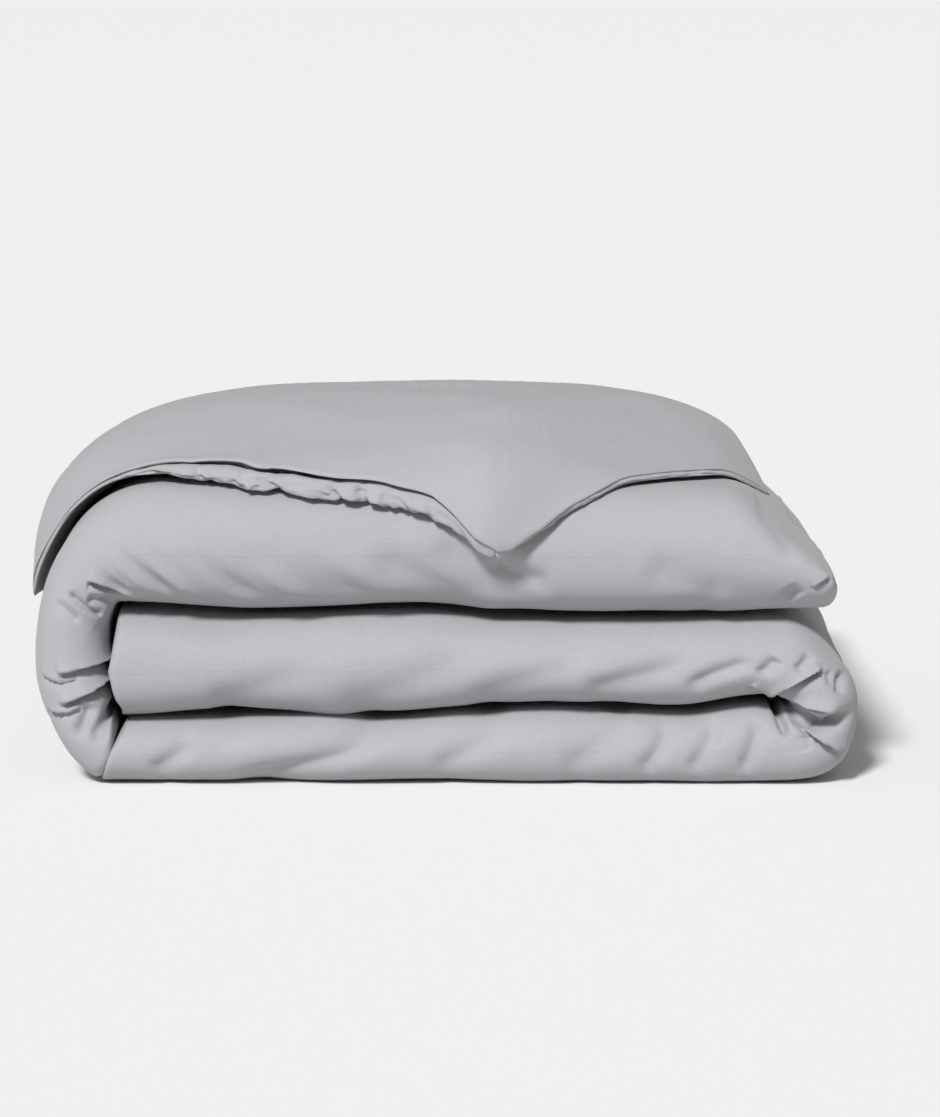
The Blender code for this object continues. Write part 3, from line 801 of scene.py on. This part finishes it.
def spread_out(values, reach):
    """Values along the top sub-layer averaged with a bell of the given reach in metres."""
    half = 40
    bell = np.exp(-((np.arange(-half, half + 1) * GRID / reach) ** 2))
    return np.convolve(np.pad(values, half, mode="edge"), bell / bell.sum(), mode="valid")


def pad_thickness(sigma, start, growth, thin, room):
    """How thick the top sub-layer is, sigma metres over the fold.

    It is thin at its edge, reaches its room within growth metres and loses a tenth again at the back.
    """
    rise = np.clip((sigma - start) / growth, 0, 1)
    grown = thin + (room - thin) * (1 - (1 - rise**1.3) ** 2.2)
    return grown * (1 - 0.10 * smooth((sigma - 0.26) / 0.22))


def build_top_layer(draped, material):
    """The top sub-layer: a pad over the outer fold, full by mid depth.

    Its front edge is a thin lip that stands out over the rolled hem; behind the hem its underside
    comes down to the fold.
    """
    sigmas, lifts, shares = [], [], []
    hem, radius, gap = hem_line(draped), edge_radius(draped), edge_gap(draped)
    soft_start = spread_out(hem + 1.25 * radius, 0.034)
    half_edge = spread_out(radius, 0.022)
    nose_turn = np.linspace(-pi / 2, pi / 2, 2 * NOSE_STEPS)[NOSE_STEPS:]
    side = np.linspace(0, 1, SIDE_STEPS + 2)[1:-1] ** 1.3
    bend = np.linspace(pi / 2, -pi / 2, 2 * BACK_STEPS)
    total = draped.q[-1]
    for row in range(len(draped.q)):
        full = float(min(end_taper(draped.q[row], 0.030), end_taper(total - draped.q[row], 0.012)))
        growth = 0.085 + 0.055 * smooth((draped.q[row] - 0.06) / 0.16)
        start = hem[row] + 1.25 * radius[row]
        end = draped.lines[row][0][-1] - 0.055
        thin = 2 * half_edge[row] * full
        lip = min(0.0040, 0.45 * thin)
        shape = (soft_start[row], growth, thin, max(draped.room[row], thin) * full)
        sigma = start + (end - start) * side
        nose_sigma = start - lip * np.cos(nose_turn)
        step = float(pad_thickness(np.array([start]), *shape)[0]) - thin
        over = pad_thickness(sigma, *shape) - step * (1 - smooth((sigma - start) / 0.035))
        back_thick = float(pad_thickness(np.array([end]), *shape)[0])
        back_sigma = end + 0.5 * back_thick * np.cos(bend)
        base = gap[row] * (1 - smooth((sigma - start) / 0.08)) + CLEARANCE
        under = base + (thin - lip) * (1 - smooth((sigma - start) / (1.2 * radius[row])))
        nose_lift = gap[row] + thin - lip / 2 + CLEARANCE
        back_lift = CLEARANCE + back_thick / 2 + back_thick / 2 * np.sin(bend)
        parts = (
            (nose_sigma, nose_lift + lip / 2 * np.sin(nose_turn)),
            (sigma, base + over),
            (back_sigma, back_lift),
            (sigma[::-1], under[::-1]),
            (nose_sigma[:0:-1], nose_lift - lip / 2 * np.sin(nose_turn[:0:-1])),
        )
        near_lip = 1 - smooth((sigma[::-1] - start) / 0.03)
        share = [np.ones(len(part[0])) for part in parts]
        share[3] = near_lip
        sigmas.append(np.concatenate([part[0] for part in parts]))
        lifts.append(np.concatenate([part[1] for part in parts]))
        shares.append(np.concatenate(share))
    swell = swells(draped.grid(sigmas, lifts), TOP_SEED) * np.array(shares)
    grid = settled(wrinkled(draped.grid(sigmas, np.array(lifts) + swell), TOP_CREASES, 0.0))
    return to_mesh("top_layer", grid, draped.q, material)


def build_hem(name, draped, rows, material):
    """A rolled hem: a tube along the corner's lower edge, its section an ellipse."""
    hem, radius, gap = hem_line(draped), edge_radius(draped), edge_gap(draped)
    turn = np.linspace(0, 2 * pi, 33)[:-1]
    middle = draped.grid((hem + radius)[:, None], (gap + radius)[:, None])
    swell = swells(middle, TOP_SEED)[:, 0]
    rows_y, rows_n = [], []
    for row in rows:
        ends = min(draped.q[row] - draped.q[rows[0]], draped.q[rows[-1]] - draped.q[row])
        full = float(end_taper(ends + 0.001, 0.006))
        pucker = puckers(draped.q[row], turn, radius[row])
        sigma = hem[row] + radius[row] - (radius[row] + pucker) * np.cos(turn) * full
        squash = 0.66 - 0.3 * smooth(-1.4 * np.cos(turn))
        lift = CLEARANCE + gap[row] + 0.6 * radius[row] + swell[row]
        lift = lift + (squash * radius[row] + 0.6 * pucker) * np.sin(turn) * full
        y, n = draped.at(row, sigma, lift)
        rows_y.append(y)
        rows_n.append(n)
    grid = settled(draped.to_space(np.array(rows_y), np.array(rows_n), rows))
    return to_mesh(name, grid, draped.q[rows], material)


# The floor, the lights and the camera


SURROUND_STRENGTH = 0.32
LIGHT_STRENGTH = 3.85
LIGHT_SPREAD_DEG = 11
LIGHT_PLACE = (-1.0, -2.6, 2.6)
CAMERA_TARGET = (0.0168, 0.0, 0.1326)
CAMERA_DISTANCE = 3.0
CAMERA_ELEVATION = radians(9.5)
CAMERA_LENS = 148.0


def white_floor():
    """A wide pale ground under the pile; it isn't part of the object."""
    mesh = bpy.data.meshes.new("floor")
    r = 30.0
    mesh.from_pydata([(-r, -r, 0), (r, -r, 0), (r, r, 0), (-r, r, 0)], [], [(0, 1, 2, 3)])
    floor = bpy.data.objects.new("floor", mesh)
    bpy.context.scene.collection.objects.link(floor)
    made, _, shader = matt("floor_white", 1.0)
    shader.inputs["Base Color"].default_value = (0.77, 0.77, 0.77, 1)
    mesh.materials.append(made)


def aim(obj, target):
    """Turns a light or camera towards a point."""
    way = Vector(target) - obj.location
    obj.rotation_euler = way.to_track_quat("-Z", "Y").to_euler()


def studio():
    """A white surround and one soft light, high on the left in front of the pile."""
    world = bpy.data.worlds.new("studio")
    bpy.context.scene.world = world
    world.use_nodes = True
    surround = world.node_tree.nodes["Background"]
    surround.inputs["Color"].default_value = (1, 1, 1, 1)
    surround.inputs["Strength"].default_value = SURROUND_STRENGTH
    light = bpy.data.lights.new("softbox", "SUN")
    light.energy = LIGHT_STRENGTH
    light.angle = radians(LIGHT_SPREAD_DEG)
    obj = bpy.data.objects.new("softbox", light)
    bpy.context.scene.collection.objects.link(obj)
    obj.location = LIGHT_PLACE
    aim(obj, (0, 0, 0.1))
    bpy.context.scene.view_settings.view_transform = "Standard"


def camera():
    """A long lens in front of the pile, a little above it."""
    data = bpy.data.cameras.new("camera")
    data.sensor_width = 36.0
    data.sensor_fit = "HORIZONTAL"
    data.lens = CAMERA_LENS
    obj = bpy.data.objects.new("camera", data)
    bpy.context.scene.collection.objects.link(obj)
    target = Vector(CAMERA_TARGET)
    way = Vector((0, -cos(CAMERA_ELEVATION), sin(CAMERA_ELEVATION)))
    obj.location = target + CAMERA_DISTANCE * way
    aim(obj, target)
    bpy.context.scene.camera = obj


COVER_DARK = (0.296, 0.302, 0.314)
COVER_LIGHT = (0.352, 0.358, 0.371)


def main():
    """Builds the pads, hides the CAD nodes they replace, puts the inner folds on the folded base, and sets
    up floor, light and camera.
    """
    weave = percale_weave()
    cover = percale("cover_percale", weave, COVER_DARK, COVER_LIGHT)
    dress(("tie", "label"), cotton_tape(weave))
    dress(("button",), button_resin())
    inner = build_inner_folds(cover)
    strip = outer_fold_strip()
    outer = build_outer_fold(strip, cover)
    draped = Draped(strip)
    top = build_top_layer(draped, cover)
    tip = int(np.argmin(np.abs(draped.x - CORNER_TIP_X)))
    side_hem = build_hem("side_hem", draped, np.arange(2, tip + 1), cover)
    end_hem = build_hem("end_hem", draped, np.arange(tip - 1, len(draped.q) - 1), cover)
    base_words = ("middle_leaf", "right_fold", "lower_leaf", "left_fold_lower")
    base = [name for word in base_words for name in nodes_named(word)]
    leaf = [name for word in ("upper_leaf", "left_fold_upper") for name in nodes_named(word)]
    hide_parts(*base, *nodes_named("placket"), "insert_seam_inner_end")
    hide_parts(*leaf, "cover_seam_outer_end", "insert_seam_outer_end", "corner_tie_outer_back")
    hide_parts("corner_cover", "corner_insert")
    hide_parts("corner_side_hem")
    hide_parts("corner_end_hem")
    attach(inner, "folded_base")
    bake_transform(outer)
    for piece in (top, side_hem, end_hem):
        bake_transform(piece)
    white_floor()
    studio()
    camera()


main()
